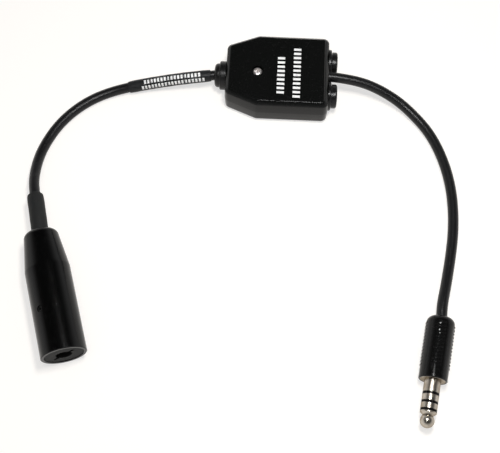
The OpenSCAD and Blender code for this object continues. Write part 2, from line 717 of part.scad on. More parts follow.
// Depth behind the rim of the middle of each conductor once the plug is home
sleeve_touch = -face_depth - sleeve_l * 0.8;
ring_1_touch = -face_depth - (ring_1_from + ring_1_to) / 2;
ring_2_touch = -face_depth - (ring_2_from + ring_2_to) / 2;
tip_touch = -face_depth - ball_at + 1.6;
bend_r = finger_r - 0.47;
tip_bend_r = neck_ball_d / 2 + 0.2;

module one_contact(turn, s, r, dip) color(brass)
    at_socket() rotate(contact_turn + turn) leaf(s, r, dip);
module sleeve_contact() one_contact(0, sleeve_touch, bend_r, 3);
module ring_1_contact() one_contact(180, ring_1_touch, bend_r, 3);
module ring_2_contact() one_contact(90, ring_2_touch, bend_r, 3);
module tip_contact() one_contact(270, tip_touch, tip_bend_r, 3.6);

// Room at the slanted ends of the straight wires
lead_clear = 0.25;

// Four wires from the cord's end to the tails
module socket_leads() at_socket() four_contacts()
    color("white") rod([0.9, 0.9, -cord_in_socket + lead_clear],
        [leaf_r - wire_r - fit_gap, 0, -block_at - tail_l + 1.4], wire_r);

// ---- Plug ----

module plug_cord() color(black_rubber) tube(plug_route, cord_r);

// Outline of the ribs, a rounded ridge for each, sunk a little into the handle between them
module grip_ribs() {
    sunk_r = handle_r - 0.2;
    top_r = handle_r + rib_h;
    w = rib_pitch * 0.6;
    last = rib_from + (rib_count - 1) * rib_pitch;
    intersection() {
        rotate_extrude() polygon(concat(
            [[sunk_r - 0.6, -rib_from + w], [sunk_r, -rib_from + w]],
            [for (i = [0:rib_count - 1], turn = [90:-30:-90])
                [sunk_r + (top_r - sunk_r) * cos(turn), w / 2 * sin(turn) - rib_from - i * rib_pitch]],
            [[sunk_r, -last - w], [sunk_r - 0.6, -last - w]]));
        for (a = [0, 90]) rotate(a) translate([-handle_d, -rib_w / 2, -handle_l])
            cube([2 * handle_d, rib_w, handle_l]);
    }
}

// Room inside the handle: seat of the flange, thread for the body, and space for the wires
flange_plug_t = 1;
body_r = 4.3;
body_l = 8;
room_r = 4.5;
handle_rear_t = 3;
module plug_handle() color(black_plastic) at_plug() {
    seat_r = flange_d / 2 + fit_gap;
    rotate_extrude() polygon(concat(
        [[seat_r, -flange_plug_t], [seat_r, 0], [handle_r - 0.3, 0], [handle_r, -0.3]],
        arc([handle_r - handle_round, -handle_l + handle_round], handle_round, 0, -90, 6),
        [[cord_r + loose_gap, -handle_l], [cord_r + loose_gap, -handle_l + handle_rear_t],
            [room_r, -handle_l + handle_rear_t], [room_r, -flange_plug_t - body_l],
            [body_r + fit_gap, -flange_plug_t - body_l], [body_r + fit_gap, -flange_plug_t]]));
    grip_ribs();
}

// The conductors are tubes inside one another. Radii from the tip's rod outwards.
rod_r = 0.7;
tube_2_in = 1.0;
tube_2_out = 1.35;
tube_1_in = 1.65;
tube_1_out = 2.05;
body_in = 2.4;
// How far each conductor reaches behind the handle's front
body_rear = flange_plug_t + body_l;
tube_1_rear = body_rear + 2.2;
tube_2_rear = body_rear + 4.4;
rod_rear = body_rear + 6.6;

// Solder tabs on the conductors' rear ends, from the first ring to the tip: their turns and size
tab_turns = [200, 320, 80];
tab_reach = 3.9;
tab_w = 1.8;
tab_t = 0.5;

module turned(points) rotate_extrude() polygon(points);
module tab(turn, from_r, s) rotate(turn) translate([from_r, -tab_w / 2, s])
    cube([tab_reach - from_r, tab_w, tab_t]);

module plug_body() color(nickel) at_plug() {
    turned([[body_in, -body_rear], [body_r, -body_rear], [body_r, -flange_plug_t],
        [flange_d / 2, -flange_plug_t], [flange_d / 2, -0.15], [flange_d / 2 - 0.15, 0], [finger_r, 0],
        [finger_r, sleeve_l], [body_in, sleeve_l]]);
}

module plug_ring_1() color(nickel) at_plug() {
    turned([[tube_1_in, -tube_1_rear], [tube_1_out, -tube_1_rear], [tube_1_out, ring_1_from],
        [finger_r, ring_1_from], [finger_r, ring_1_to], [tube_1_in, ring_1_to]]);
    tab(tab_turns[0], (tube_1_in + tube_1_out) / 2, -tube_1_rear);
}

module plug_ring_2() color(nickel) at_plug() {
    turned([[tube_2_in, -tube_2_rear], [tube_2_out, -tube_2_rear], [tube_2_out, ring_2_from],
        [finger_r, ring_2_from], [finger_r, ring_2_to], [tube_2_in, ring_2_to]]);
    tab(tab_turns[1], (tube_2_in + tube_2_out) / 2, -tube_2_rear);
}

module plug_tip() color(nickel) at_plug() {
    neck_r = neck_ball_d / 2;
    neck_meet = acos(neck_r / ball_r);
    turned(concat(
        [[0, -rod_rear], [rod_r, -rod_rear], [rod_r, tip_from], [finger_r, tip_from],
            [finger_r, tip_from + 0.5], [neck_r, tip_from + 1.8]],
        arc([0, ball_at], ball_r, -neck_meet, 90, 14)));
    tab(tab_turns[2], 0, -rod_rear);
}

// Collars between the conductors and the sleeving inside them, each one piece
module insulator(from, to, in_r, out_r, rear) turned([[in_r + fit_gap, -rear], [out_r - fit_gap, -rear],
    [out_r - fit_gap, from], [finger_r, from], [finger_r, to], [in_r + fit_gap, to]]);
module plug_insulators() color([0.07, 0.06, 0.06]) at_plug() {
    insulator(sleeve_l, ring_1_from, tube_1_out, body_in, body_rear + 0.6);
    insulator(ring_1_to, ring_2_from, tube_2_out, tube_1_in, tube_1_rear + 0.6);
    insulator(ring_2_to, tip_from, rod_r, tube_2_in, tube_2_rear + 0.6);
}

// Wires from the cord's end to the tabs and to the body's rear face
module plug_leads() at_plug() {
    lead_r = 0.4;
    cord_end_r = 1.2;
    tab_end_r = tab_reach - 0.7;
    body_end = [140, (body_in + body_r) / 2 + 0.25, body_rear];
    rears = [tube_1_rear, tube_2_rear, rod_rear];
    lead_ends = concat([body_end], [for (i = [0:2]) [tab_turns[i], tab_end_r, rears[i]]]);
    for (e = lead_ends) let (side = [cos(e[0]), sin(e[0]), 0]) color("white")
        rod(cord_end_r * side + [0, 0, -cord_in_plug + lead_clear],
            e[1] * side + [0, 0, -e[2] - lead_clear], lead_r);
}

housing_upper();
housing_lower();
housing_screw();
cord_gland();
blanking_plug_far();
blanking_plug_near();
circuit_board();
transformer_core();
transformer_coil();
capacitors();
resistors();
amplifier_chip();
cord_ties();
board_leads();
socket_cord();
printed_sleeve();
socket_boot();
socket_barrel();
socket_insert();
contact_block();
contact_tails();
sleeve_contact();
ring_1_contact();
ring_2_contact();
tip_contact();
socket_leads();
plug_cord();
plug_handle();
plug_body();
plug_ring_1();
plug_ring_2();
plug_tip();
plug_insulators();
plug_leads();
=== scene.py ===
import math

import bmesh
import bpy
import numpy as np
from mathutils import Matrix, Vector


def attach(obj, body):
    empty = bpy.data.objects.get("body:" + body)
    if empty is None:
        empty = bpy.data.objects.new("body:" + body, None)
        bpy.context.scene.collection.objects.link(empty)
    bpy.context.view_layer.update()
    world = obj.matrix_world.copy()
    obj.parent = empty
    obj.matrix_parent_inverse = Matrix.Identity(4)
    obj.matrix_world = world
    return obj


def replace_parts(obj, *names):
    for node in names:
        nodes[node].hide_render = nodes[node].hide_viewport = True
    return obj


# An in-line adapter cord for a headset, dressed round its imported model: the studio, the two cords
# and their sleeves, the moulded box with its fittings, screw and board, the barrel socket and
# the plug. Metres, in the model's own frame.

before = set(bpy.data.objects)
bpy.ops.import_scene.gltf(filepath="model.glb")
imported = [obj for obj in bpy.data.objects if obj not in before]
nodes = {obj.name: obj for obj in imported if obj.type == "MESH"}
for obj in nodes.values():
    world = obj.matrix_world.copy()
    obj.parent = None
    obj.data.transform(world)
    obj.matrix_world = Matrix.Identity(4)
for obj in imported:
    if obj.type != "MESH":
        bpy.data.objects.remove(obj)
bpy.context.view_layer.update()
scene = bpy.context.scene
MM = 0.001


# ---- Studio ----
# A sheet of white card on a table in a dim room. A small lamp hangs over the table, a wide
# softbox high above it fills in, and the camera looks steeply down from the front.

def place_camera(place, tilt, turn, lens):
    """A camera that looks straight down, then tilts up and turns by some degrees."""
    camera = bpy.data.objects.new("camera", bpy.data.cameras.new("camera"))
    scene.collection.objects.link(camera)
    camera.location = place
    camera.rotation_euler = (math.radians(tilt), 0, math.radians(turn))
    camera.data.lens = lens
    camera.data.sensor_width = 36
    camera.data.clip_start = 0.01
    camera.data.clip_end = 20
    scene.camera = camera


def soft_light(name, across, deep, place, aim, watts, colour=(1, 1, 1), in_gloss=True):
    """A softbox of a width and depth at a place, turned to face the point aim."""
    data = bpy.data.lights.new(name, "AREA")
    data.shape = "RECTANGLE"
    data.size = across
    data.size_y = deep
    data.energy = watts
    data.color = colour
    lamp = bpy.data.objects.new(name, data)
    lamp.location = place
    lamp.rotation_euler = (Vector(aim) - Vector(place)).to_track_quat("-Z", "Y").to_euler()
    lamp.visible_camera = False
    lamp.visible_glossy = in_gloss
    scene.collection.objects.link(lamp)


place_camera(place=(-0.00081, -0.24972, 0.39248), tilt=23.67, turn=2.91, lens=65.3)
scene.view_settings.view_transform = "Standard"
soft_light("lamp_over_table", across=0.055, deep=0.085, place=(0.03, -0.085, 0.38),
           aim=(0.03, -0.06, 0), watts=0.95)
soft_light("high_softbox", across=0.9, deep=0.9, place=(0, -0.25, 2.2), aim=(0, -0.07, 0), watts=7.0,
           in_gloss=False)
soft_light("warm_wall", across=0.8, deep=0.8, place=(-1.0, 0.1, 0.55), aim=(0, -0.07, 0.05), watts=0.06,
           colour=(1.0, 0.85, 0.72))


def seen_or_mirrored(tree):
    """A mask of the rays that show a background: straight to the camera, or by gloss or glass."""
    path = tree.nodes.new("ShaderNodeLightPath")
    mask = path.outputs["Is Camera Ray"]
    for kind in ("Is Glossy Ray", "Is Transmission Ray"):
        either = tree.nodes.new("ShaderNodeMath")
        either.operation = "MAXIMUM"
        tree.links.new(mask, either.inputs[0])
        tree.links.new(path.outputs[kind], either.inputs[1])
        mask = either.outputs[0]
    return mask


def smooth_change(tree, value, start, end):
    """A strength that changes smoothly with a value. Start and end each give (value, strength)."""
    change = tree.nodes.new("ShaderNodeMapRange")
    change.interpolation_type = "SMOOTHSTEP"
    for limit, (at, strength) in (("Min", start), ("Max", end)):
        change.inputs["From " + limit].default_value = at
        change.inputs["To " + limit].default_value = strength
    tree.links.new(value, change.inputs["Value"])
    return change.outputs["Result"]


def make_room():
    """The room fills the shadows. Its backdrop is white at the horizon and dark at the ceiling."""
    white_below, dark_above = math.sin(math.radians(6)), math.sin(math.radians(42))
    room = bpy.data.worlds.new("dim_room")
    room.use_nodes = True
    scene.world = room
    tree = room.node_tree
    tree.nodes.clear()
    height = tree.nodes.new("ShaderNodeSeparateXYZ")
    tree.links.new(tree.nodes.new("ShaderNodeTexCoord").outputs["Generated"], height.inputs[0])
    fill = tree.nodes.new("ShaderNodeBackground")
    fill.inputs["Strength"].default_value = 0.26
    backdrop = tree.nodes.new("ShaderNodeBackground")
    tree.links.new(smooth_change(tree, height.outputs["Z"], (white_below, 1.0), (dark_above, 0.035)),
                   backdrop.inputs["Strength"])
    for light in (fill, backdrop):
        light.inputs["Color"].default_value = (1, 1, 1, 1)
    mix = tree.nodes.new("ShaderNodeMixShader")
    tree.links.new(seen_or_mirrored(tree), mix.inputs[0])
    tree.links.new(fill.outputs[0], mix.inputs[1])
    tree.links.new(backdrop.outputs[0], mix.inputs[2])
    tree.links.new(mix.outputs[0], tree.nodes.new("ShaderNodeOutputWorld").inputs["Surface"])


def paint_card():
    """Matt card that takes the shadows, with a glow that makes it white where it is seen or mirrored.

    It glows more away from the object, so that it stays white out to the horizon."""
    paint = bpy.data.materials.new("white_card")
    paint.use_nodes = True
    tree = paint.node_tree
    matt = tree.nodes["Principled BSDF"]
    matt.inputs["Base Color"].default_value = (0.48, 0.45, 0.41, 1)
    matt.inputs["Roughness"].default_value = 0.9
    matt.inputs["Specular IOR Level"].default_value = 0.1
    far = tree.nodes.new("ShaderNodeVectorMath")
    far.operation = "LENGTH"
    tree.links.new(tree.nodes.new("ShaderNodeTexCoord").outputs["Object"], far.inputs[0])
    glow = tree.nodes.new("ShaderNodeEmission")
    glow.inputs["Color"].default_value = (1, 1, 1, 1)
    tree.links.new(smooth_change(tree, far.outputs["Value"], (0.15, 0.62), (1.2, 0.85)),
                   glow.inputs["Strength"])
    shown = tree.nodes.new("ShaderNodeMixShader")
    tree.links.new(seen_or_mirrored(tree), shown.inputs[0])
    tree.links.new(glow.outputs[0], shown.inputs[2])
    add = tree.nodes.new("ShaderNodeAddShader")
    tree.links.new(matt.outputs[0], add.inputs[0])
    tree.links.new(shown.outputs[0], add.inputs[1])
    tree.links.new(add.outputs[0], tree.nodes["Material Output"].inputs["Surface"])
    return paint


def lay_card(half=4.0):
    """A square sheet of card on the table, given by half its width."""
    sheet = bpy.data.meshes.new("card")
    corners = [(-half, -half, 0), (half, -half, 0), (half, half, 0), (-half, half, 0)]
    sheet.from_pydata(corners, [], [(0, 1, 2, 3)])
    sheet.materials.append(paint_card())
    card = bpy.data.objects.new("card", sheet)
    scene.collection.objects.link(card)
    return card


make_room()
lay_card()


# ---- Cords ----
# Two lengths of round four-wire cord in a satin black vinyl jacket, 5 mm thick.
# One runs from the gland to the barrel socket, the other from the wide end to the plug.

# A hair under half the cord's thickness, so that its round sides stay inside the model's box
CORD_R = 2.47 * MM


def level_direction(degrees):
    """A level unit vector that points to the front, turned to the right by some degrees."""
    turn = math.radians(degrees)
    return Vector((math.sin(turn), -math.cos(turn), 0))


# The middle of the socket's rim and of the handle's front, and the directions that they face
socket_mouth = Vector((-86.7, -147.4, 10.15)) * MM
socket_out = level_direction(18)
plug_front = Vector((73.2, -149.4, 6.55)) * MM
plug_out = level_direction(-9.4)


def on_socket(s):
    """A point on the socket's axis, s millimetres in front of its rim."""
    return socket_mouth + socket_out * s * MM


def on_plug(s):
    """A point on the plug's axis, s millimetres in front of its handle."""
    return plug_front + plug_out * s * MM


def mm_points(*points):
    return [Vector(p) * MM for p in points]


socket_route = mm_points(
    (-17, 0, 8.15), (-31, 0, 8.15), (-33, -0.3, 8.1), (-42, -1.6, 7.7), (-53, -2.8, 6.2),
    (-64, -4.3, 4.5), (-74, -6.3, 3.3), (-83.3, -9.3, 2.6), (-92, -14.1, 2.5),
    (-99.8, -20.8, 2.5), (-106, -28.7, 2.5), (-110.5, -37.6, 2.5), (-113, -46.6, 3.3),
    (-113.5, -54.8, 5), (-112.7, -63.3, 7.3), (-110.6, -71.4, 9.2), (-107.9, -80.7, 10.1),
) + [on_socket(-60), on_socket(-52), on_socket(-44)]

plug_route = mm_points(
    (17, 0, 11), (25.5, 0, 11), (34, -0.8, 10.9), (43.5, -2.3, 9.8), (52.7, -5.3, 7.8),
    (61.2, -9.7, 5.4), (68.6, -15.8, 3.5), (75, -23.5, 2.6), (80, -33.4, 2.5), (83.4, -44, 2.5),
    (85.4, -55.2, 2.5), (86, -66, 2.5), (85.6, -76.5, 2.5), (84.3, -87, 2.6),
    (82.4, -97.3, 3.5), (80.3, -107, 5.1), (78.5, -115.6, 6.4),
) + [on_plug(-29), on_plug(-21)]


def smooth_line(route, step=0.7 * MM):
    """Points about a step apart on the natural cubic spline through a route."""
    p = np.array([tuple(point) for point in route])
    gap = np.linalg.norm(np.diff(p, axis=0), axis=1)
    # How much the line bends at each point of the route, with no bend at its two ends
    rows, sums = np.eye(len(p)), np.zeros((len(p), 3))
    for i in range(1, len(p) - 1):
        rows[i, i - 1:i + 2] = [gap[i - 1], 2 * (gap[i - 1] + gap[i]), gap[i]]
        sums[i] = 6 * ((p[i + 1] - p[i]) / gap[i] - (p[i] - p[i - 1]) / gap[i - 1])
    bend = np.linalg.solve(rows, sums)
    line = []
    for i, h in enumerate(gap):
        count = max(2, round(h / step))
        for k in range(count):
            u = h * k / count
            v = h - u
            line.append((bend[i] * v**3 + bend[i + 1] * u**3) / (6 * h)
                        + (p[i] / h - bend[i] * h / 6) * v + (p[i + 1] / h - bend[i + 1] * h / 6) * u)
    line.append(p[-1])
    return [Vector(point) for point in line]


def lengths_along(line):
    """The length of a line up to each of its points."""
    lengths = [0.0]
    for a, b in zip(line, line[1:]):
        lengths.append(lengths[-1] + (b - a).length)
    return lengths


def line_length(line):
    return lengths_along(line)[-1]


FLOAT, COLOUR, VECTOR = "NodeSocketFloat", "NodeSocketColor", "NodeSocketVector"


def new_skin(name, inputs):
    """A node group for a surface, and the sockets it takes in and gives out."""
    group = bpy.data.node_groups.new(name, "ShaderNodeTree")
    for label, kind, value in inputs:
        socket = group.interface.new_socket(label, in_out="INPUT", socket_type=kind)
        socket.default_value = value
    for label, kind in (("Colour", COLOUR), ("Roughness", FLOAT), ("Height", FLOAT)):
        group.interface.new_socket(label, in_out="OUTPUT", socket_type=kind)
    return group, group.nodes.new("NodeGroupInput").outputs, group.nodes.new("NodeGroupOutput").inputs


def finish_skin(group, gives, colour, roughness, height):
    """Links what a skin has worked out to what it gives out."""
    group.links.new(colour, gives["Colour"])
    group.links.new(roughness, gives["Roughness"])
    group.links.new(height, gives["Height"])
    return group


def math_node(tree, operation, a, b=None, clamp=False):
    """A math node fed by sockets or numbers; returns its output."""
    node = tree.nodes.new("ShaderNodeMath")
    node.operation = operation
    node.use_clamp = clamp
    for socket, value in zip(node.inputs, (a, b)):
        if isinstance(value, bpy.types.NodeSocket):
            tree.links.new(value, socket)
        elif value is not None:
            socket.default_value = value
    return node.outputs[0]


def noise_node(tree, place, scale, detail):
    """Noise of a scale, in waves per metre, which is a socket or a number."""
    node = tree.nodes.new("ShaderNodeTexNoise")
    node.inputs["Detail"].default_value = detail
    tree.links.new(place, node.inputs["Vector"])
    if isinstance(scale, bpy.types.NodeSocket):
        tree.links.new(scale, node.inputs["Scale"])
    else:
        node.inputs["Scale"].default_value = scale
    return node.outputs["Fac"]


def peaks(tree, noise, level, gain):
    """A mask of where noise rises above a level, from 0 to 1."""
    above = math_node(tree, "SUBTRACT", noise, level, clamp=True)
    return math_node(tree, "MULTIPLY", above, gain, clamp=True)


def either_way(tree, noise):
    """Noise from 0 to 1, moved to lie about zero."""
    return math_node(tree, "SUBTRACT", noise, 0.5)


def plus_share(tree, base, value, share):
    """The base with a share of a value added, from 0 to 1."""
    return math_node(tree, "ADD", base, math_node(tree, "MULTIPLY", value, share), clamp=True)


def mixed(tree, mask, a, b):
    """Colour a, and colour b where the mask is 1."""
    tint = tree.nodes.new("ShaderNodeMix")
    tint.data_type = "RGBA"
    tree.links.new(mask, tint.inputs["Factor"])
    tree.links.new(a, tint.inputs["A"])
    tree.links.new(b, tint.inputs["B"])
    return tint.outputs["Result"]


def make_moulded_skin():
    """Skin of a moulded or extruded piece: fine grain, faint cloudiness, and specks of dust and wear."""
    group, takes, gives = new_skin("moulded_skin", [
        ("Colour", COLOUR, (0.02, 0.02, 0.02, 1)), ("Worn Colour", COLOUR, (0.05, 0.05, 0.05, 1)),
        ("Grain per metre", FLOAT, 2500.0), ("Gloss", FLOAT, 0.4), ("Gloss Change", FLOAT, 0.1),
        ("Wear", FLOAT, 0.3)])
    place = group.nodes.new("ShaderNodeTexCoord").outputs["Object"]
    grain = noise_node(group, place, takes["Grain per metre"], detail=3)
    cloud = noise_node(group, place, 70.0, detail=4)
    specks = peaks(group, noise_node(group, place, 620.0, detail=6), level=0.56, gain=7.0)
    wear = math_node(group, "MULTIPLY", cloud, takes["Wear"])
    worn = math_node(group, "MULTIPLY", specks, wear, clamp=True)
    colour = mixed(group, worn, takes["Colour"], takes["Worn Colour"])
    roughness = plus_share(group, takes["Gloss"], either_way(group, cloud), takes["Gloss Change"])
    return finish_skin(group, gives, colour, plus_share(group, roughness, worn, 0.25), grain)


moulded_skin = make_moulded_skin()


def skinned(name, skin, values, relief, metallic=0.0, specular=0.28, edge_tint=(1, 1, 1)):
    """A material whose colour, roughness and relief come from a skin; relief is its depth in metres."""
    material = bpy.data.materials.new(name)
    material.use_nodes = True
    tree = material.node_tree
    shader = tree.nodes["Principled BSDF"]
    shader.inputs["Metallic"].default_value = metallic
    shader.inputs["Specular IOR Level"].default_value = specular
    shader.inputs["Specular Tint"].default_value = (*edge_tint, 1)
    surface = tree.nodes.new("ShaderNodeGroup")
    surface.node_tree = skin
    for socket, value in values.items():
        surface.inputs[socket].default_value = value
    tree.links.new(surface.outputs["Colour"], shader.inputs["Base Color"])
    tree.links.new(surface.outputs["Roughness"], shader.inputs["Roughness"])
    bump = tree.nodes.new("ShaderNodeBump")
    bump.inputs["Distance"].default_value = relief
    tree.links.new(surface.outputs["Height"], bump.inputs["Height"])
    tree.links.new(bump.outputs["Normal"], shader.inputs["Normal"])
    material.diffuse_color = values["Colour"]
    return material


def moulded(name, colour, worn, gloss, change=0.15, wear=0.4, grain=1500.0, relief=0.03 * MM, **shader):
    """A material of the moulded skin: its colour, its colour where worn, and its gloss."""
    return skinned(name, moulded_skin, {
        "Colour": (*colour, 1), "Worn Colour": (*worn, 1), "Grain per metre": grain, "Gloss": gloss,
        "Gloss Change": change, "Wear": wear}, relief, **shader)


cord_jacket = moulded("cord_jacket", (0.007, 0.007, 0.0075), (0.028, 0.028, 0.028), gloss=0.36,
                      change=0.16, wear=0.5, grain=1400.0)


def lay_cord(name, line):
    """A round cord along a line, as a curve of one open spline."""
    data = bpy.data.curves.new(name, "CURVE")
    data.dimensions = "3D"
    data.bevel_depth = CORD_R
    data.bevel_resolution = 7
    data.use_fill_caps = True
    spline = data.splines.new("POLY")
    spline.points.add(len(line) - 1)
    for point, place in zip(spline.points, line):
        point.co = (*place, 1)
    spline.use_smooth = True
    data.materials.append(cord_jacket)
    cord = bpy.data.objects.new(name, data)
    scene.collection.objects.link(cord)
    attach(cord, "adapter")
    return cord


socket_line = smooth_line(socket_route)
plug_line = smooth_line(plug_route)
socket_flex = lay_cord("socket_flex", socket_line)
plug_flex = lay_cord("plug_flex", plug_line)
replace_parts(socket_flex, "socket_cord")
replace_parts(plug_flex, "plug_cord")


# ---- Sleeves on the socket's cord ----
# A printed shrink sleeve beside the gland and a plain grey one that stiffens the cord behind the
# socket. Both are polyolefin tube, shrunk on with hot air, so their ends are drawn in a little.
# The first carries two lines of plain white dashes in ink.

SLEEVE_BORE_R = 2.56 * MM
DRAWN_IN, DRAWN_OVER = 0.15 * MM, 3 * MM
RIPPLE = 0.03 * MM


def tube_frame(line, lengths, s):
    """Centre, side and up directions of a tube at the length s along its line."""
    s = min(max(s, 0.0), lengths[-1])
    i = min(max(int(np.searchsorted(lengths, s)) - 1, 0), len(line) - 2)
    a, b = line[i], line[i + 1]
    ahead = (b - a).normalized()
    side = ahead.cross(Vector((0, 0, 1))).normalized()
    return a + (b - a) * ((s - lengths[i]) / (lengths[i + 1] - lengths[i])), side, side.cross(ahead)


def full_turn(sides):
    """Angles at equal steps round a circle."""
    return [2 * math.pi * k / sides for k in range(sides)]


def join_rings(mesh, rings, capped=False):
    """Four-sided faces from each ring of points to the next, and a face across each end if capped."""
    for a, b in zip(rings, rings[1:]):
        for k in range(len(a)):
            after = (k + 1) % len(a)
            mesh.faces.new((a[k], a[after], b[after], b[k]))
    if capped:
        mesh.faces.new(rings[0])
        mesh.faces.new(rings[-1])


def new_piece(name, mesh, material, smooth=True):
    """A piece on the adapter from a bmesh, with its material."""
    bmesh.ops.recalc_face_normals(mesh, faces=mesh.faces)
    for face in mesh.faces:
        face.smooth = smooth
    data = bpy.data.meshes.new(name)
    mesh.to_mesh(data)
    mesh.free()
    data.materials.append(material)
    piece = bpy.data.objects.new(name, data)
    scene.collection.objects.link(piece)
    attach(piece, "adapter")
    return piece


def tube_along(name, line, profile, material, sides=40):
    """A hollow sleeve along a line. The profile gives (share of the length, outer radius, bore's radius)."""
    lengths = lengths_along(line)
    mesh = bmesh.new()
    rings = []
    stations = [(share * lengths[-1], outer) for share, outer, bore in profile]
    stations += [(share * lengths[-1], bore) for share, outer, bore in reversed(profile)]
    for s, r in stations:
        centre, side, up = tube_frame(line, lengths, s)
        rings.append([mesh.verts.new(centre + (side * math.cos(a) + up * math.sin(a)) * r)
                      for a in full_turn(sides)])
    join_rings(mesh, rings + rings[:1])
    return new_piece(name, mesh, material)


def part_of_line(line, start, end):
    """The stretch of a line between the points nearest to two places."""
    def nearest(place):
        return min(range(len(line)), key=lambda i: (line[i] - place).length)
    return line[nearest(start):nearest(end) + 1]


def shrunk_profile(outer, lip, length, steps=60, lip_steps=6):
    """Radii along a shrink sleeve: rounded lips, a drawn-in stretch at each end, faint waves between."""
    rim = []
    for i in range(lip_steps + 1):
        a = math.pi / 2 * i / lip_steps
        rim.append((lip * (1 - math.cos(a)) / length, outer - DRAWN_IN - lip * (1 - math.sin(a))))
    body = []
    for i in range(1, steps):
        s = lip + (length - 2 * lip) * i / steps
        drawn = DRAWN_IN * max(0.0, 1 - min(s, length - s) / DRAWN_OVER) ** 2
        wave = math.sin(s * 1100) * math.sin(s * 370)
        body.append((s / length, outer - drawn - RIPPLE * (1 + wave)))
    far_rim = [(1 - share, r) for share, r in reversed(rim)]
    return [(share, r, SLEEVE_BORE_R) for share, r in rim + body + far_rim]


sleeve_r = 3 * MM
sleeve_black = moulded("sleeve_black", (0.011, 0.012, 0.0125), (0.035, 0.035, 0.035), gloss=0.48,
                       grain=900.0, relief=0.04 * MM)
sleeve_line = part_of_line(socket_line, socket_route[2], socket_route[6])
sleeve_lengths = lengths_along(sleeve_line)
printed_tube = tube_along("printed_tube", sleeve_line,
                          shrunk_profile(sleeve_r, 0.4 * MM, line_length(sleeve_line)),
                          sleeve_black)
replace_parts(printed_tube, "printed_sleeve")

INK = 0.03 * MM
ink_white = moulded("ink_white", (0.90, 0.90, 0.89), (0.45, 0.45, 0.45), gloss=0.55, change=0.2, wear=0.7,
                    grain=3000.0, relief=0.01 * MM)


def ink_dashes(name, patches, across=4):
    """Dashes of ink. Each patch maps (u, v) from 0 to 1 and a height to a point of the surface."""
    mesh = bmesh.new()
    for patch in patches:
        top, foot = ([[mesh.verts.new(patch(u, v / across, lift)) for v in range(across + 1)]
                      for u in (0, 1)] for lift in (INK, -INK))
        for v in range(across):
            mesh.faces.new((top[0][v], top[1][v], top[1][v + 1], top[0][v + 1]))
            mesh.faces.new((foot[0][v], foot[0][v + 1], foot[1][v + 1], foot[1][v]))
            for u in (0, 1):
                mesh.faces.new((top[u][v], top[u][v + 1], foot[u][v + 1], foot[u][v]))
        for v in (0, across):
            mesh.faces.new((top[0][v], foot[0][v], foot[1][v], top[1][v]))
    return new_piece(name, mesh, ink_white, smooth=False)


def sleeve_dash(start, low, high, length=1.05 * MM):
    """A dash from a length along the sleeve, between two angles in degrees from its upper line."""
    def patch(u, v, lift):
        centre, side, up = tube_frame(sleeve_line, sleeve_lengths, start + length * u)
        a = math.radians(low + (high - low) * v)
        return centre + (up * math.cos(a) + side * math.sin(a)) * (sleeve_r - RIPPLE + lift)
    return patch


DASH_STEP = 1.7 * MM
upper_line = [sleeve_dash(5.2 * MM + DASH_STEP * i, -30, 9) for i in range(17)]
lower_line = [sleeve_dash(3.4 * MM + DASH_STEP * i, -84, -47) for i in range(19)]
ink_dashes("sleeve_dashes", upper_line + lower_line)

boot_grey = moulded("boot_grey", (0.0135, 0.0140, 0.0138), (0.035, 0.035, 0.034), gloss=0.62, change=0.12,
                    grain=1100.0, relief=0.05 * MM)
boot_line = part_of_line(socket_line, socket_route[15], on_socket(-57))
boot_tube = tube_along("boot_tube", boot_line, shrunk_profile(3.9 * MM, 0.5 * MM, line_length(boot_line)),
                       boot_grey)
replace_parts(boot_tube, "socket_boot")


# ---- Moulded box ----
# Two half shells in black ABS with a fine spark-eroded texture, joined on a stepped lip.
# Their top and bottom edges are sloped, and the upper half has a raised panel with two rows of
# plain bars in white ink.

def make_smoothing():
    """A geometry node group that welds a shell's faces and shades it smooth except at sharp edges."""
    group = bpy.data.node_groups.new("smooth_by_angle", "GeometryNodeTree")
    group.interface.new_socket("Geometry", in_out="INPUT", socket_type="NodeSocketGeometry")
    angle = group.interface.new_socket("Angle", in_out="INPUT", socket_type=FLOAT)
    angle.default_value = math.radians(32)
    group.interface.new_socket("Geometry", in_out="OUTPUT", socket_type="NodeSocketGeometry")
    start = group.nodes.new("NodeGroupInput")
    end = group.nodes.new("NodeGroupOutput")
    strip = group.nodes.new("GeometryNodeRemoveAttribute")
    strip.inputs["Name"].default_value = "custom_normal"
    weld = group.nodes.new("GeometryNodeMergeByDistance")
    weld.inputs["Distance"].default_value = 0.002 * MM
    bend = group.nodes.new("GeometryNodeInputMeshEdgeAngle")
    flat = group.nodes.new("FunctionNodeCompare")
    flat.operation = "LESS_EQUAL"
    edges = group.nodes.new("GeometryNodeSetShadeSmooth")
    edges.domain = "EDGE"
    faces = group.nodes.new("GeometryNodeSetShadeSmooth")
    chain = (start, strip, weld, edges, faces, end)
    for before, after in zip(chain, chain[1:]):
        group.links.new(before.outputs["Geometry"], after.inputs["Geometry"])
    group.links.new(bend.outputs["Unsigned Angle"], flat.inputs["A"])
    group.links.new(start.outputs["Angle"], flat.inputs["B"])
    group.links.new(flat.outputs["Result"], edges.inputs["Shade Smooth"])
    return group


smooth_by_angle = make_smoothing()


def dress(name, material, edge=0.0, turned=False):
    """Gives a node of the model its material, smooth shading and, where edge is set, softened edges.

    A turned piece keeps the normals it comes with, which are exact on its round faces."""
    node = nodes[name]
    node.data.materials.clear()
    node.data.materials.append(material)
    if not turned:
        node.modifiers.new("smooth", "NODES").node_group = smooth_by_angle
    if edge:
        soften = node.modifiers.new("soft_edges", "BEVEL")
        soften.width = edge
        soften.segments = 2
        soften.limit_method = "ANGLE"
        soften.angle_limit = math.radians(35)
        soften.harden_normals = True


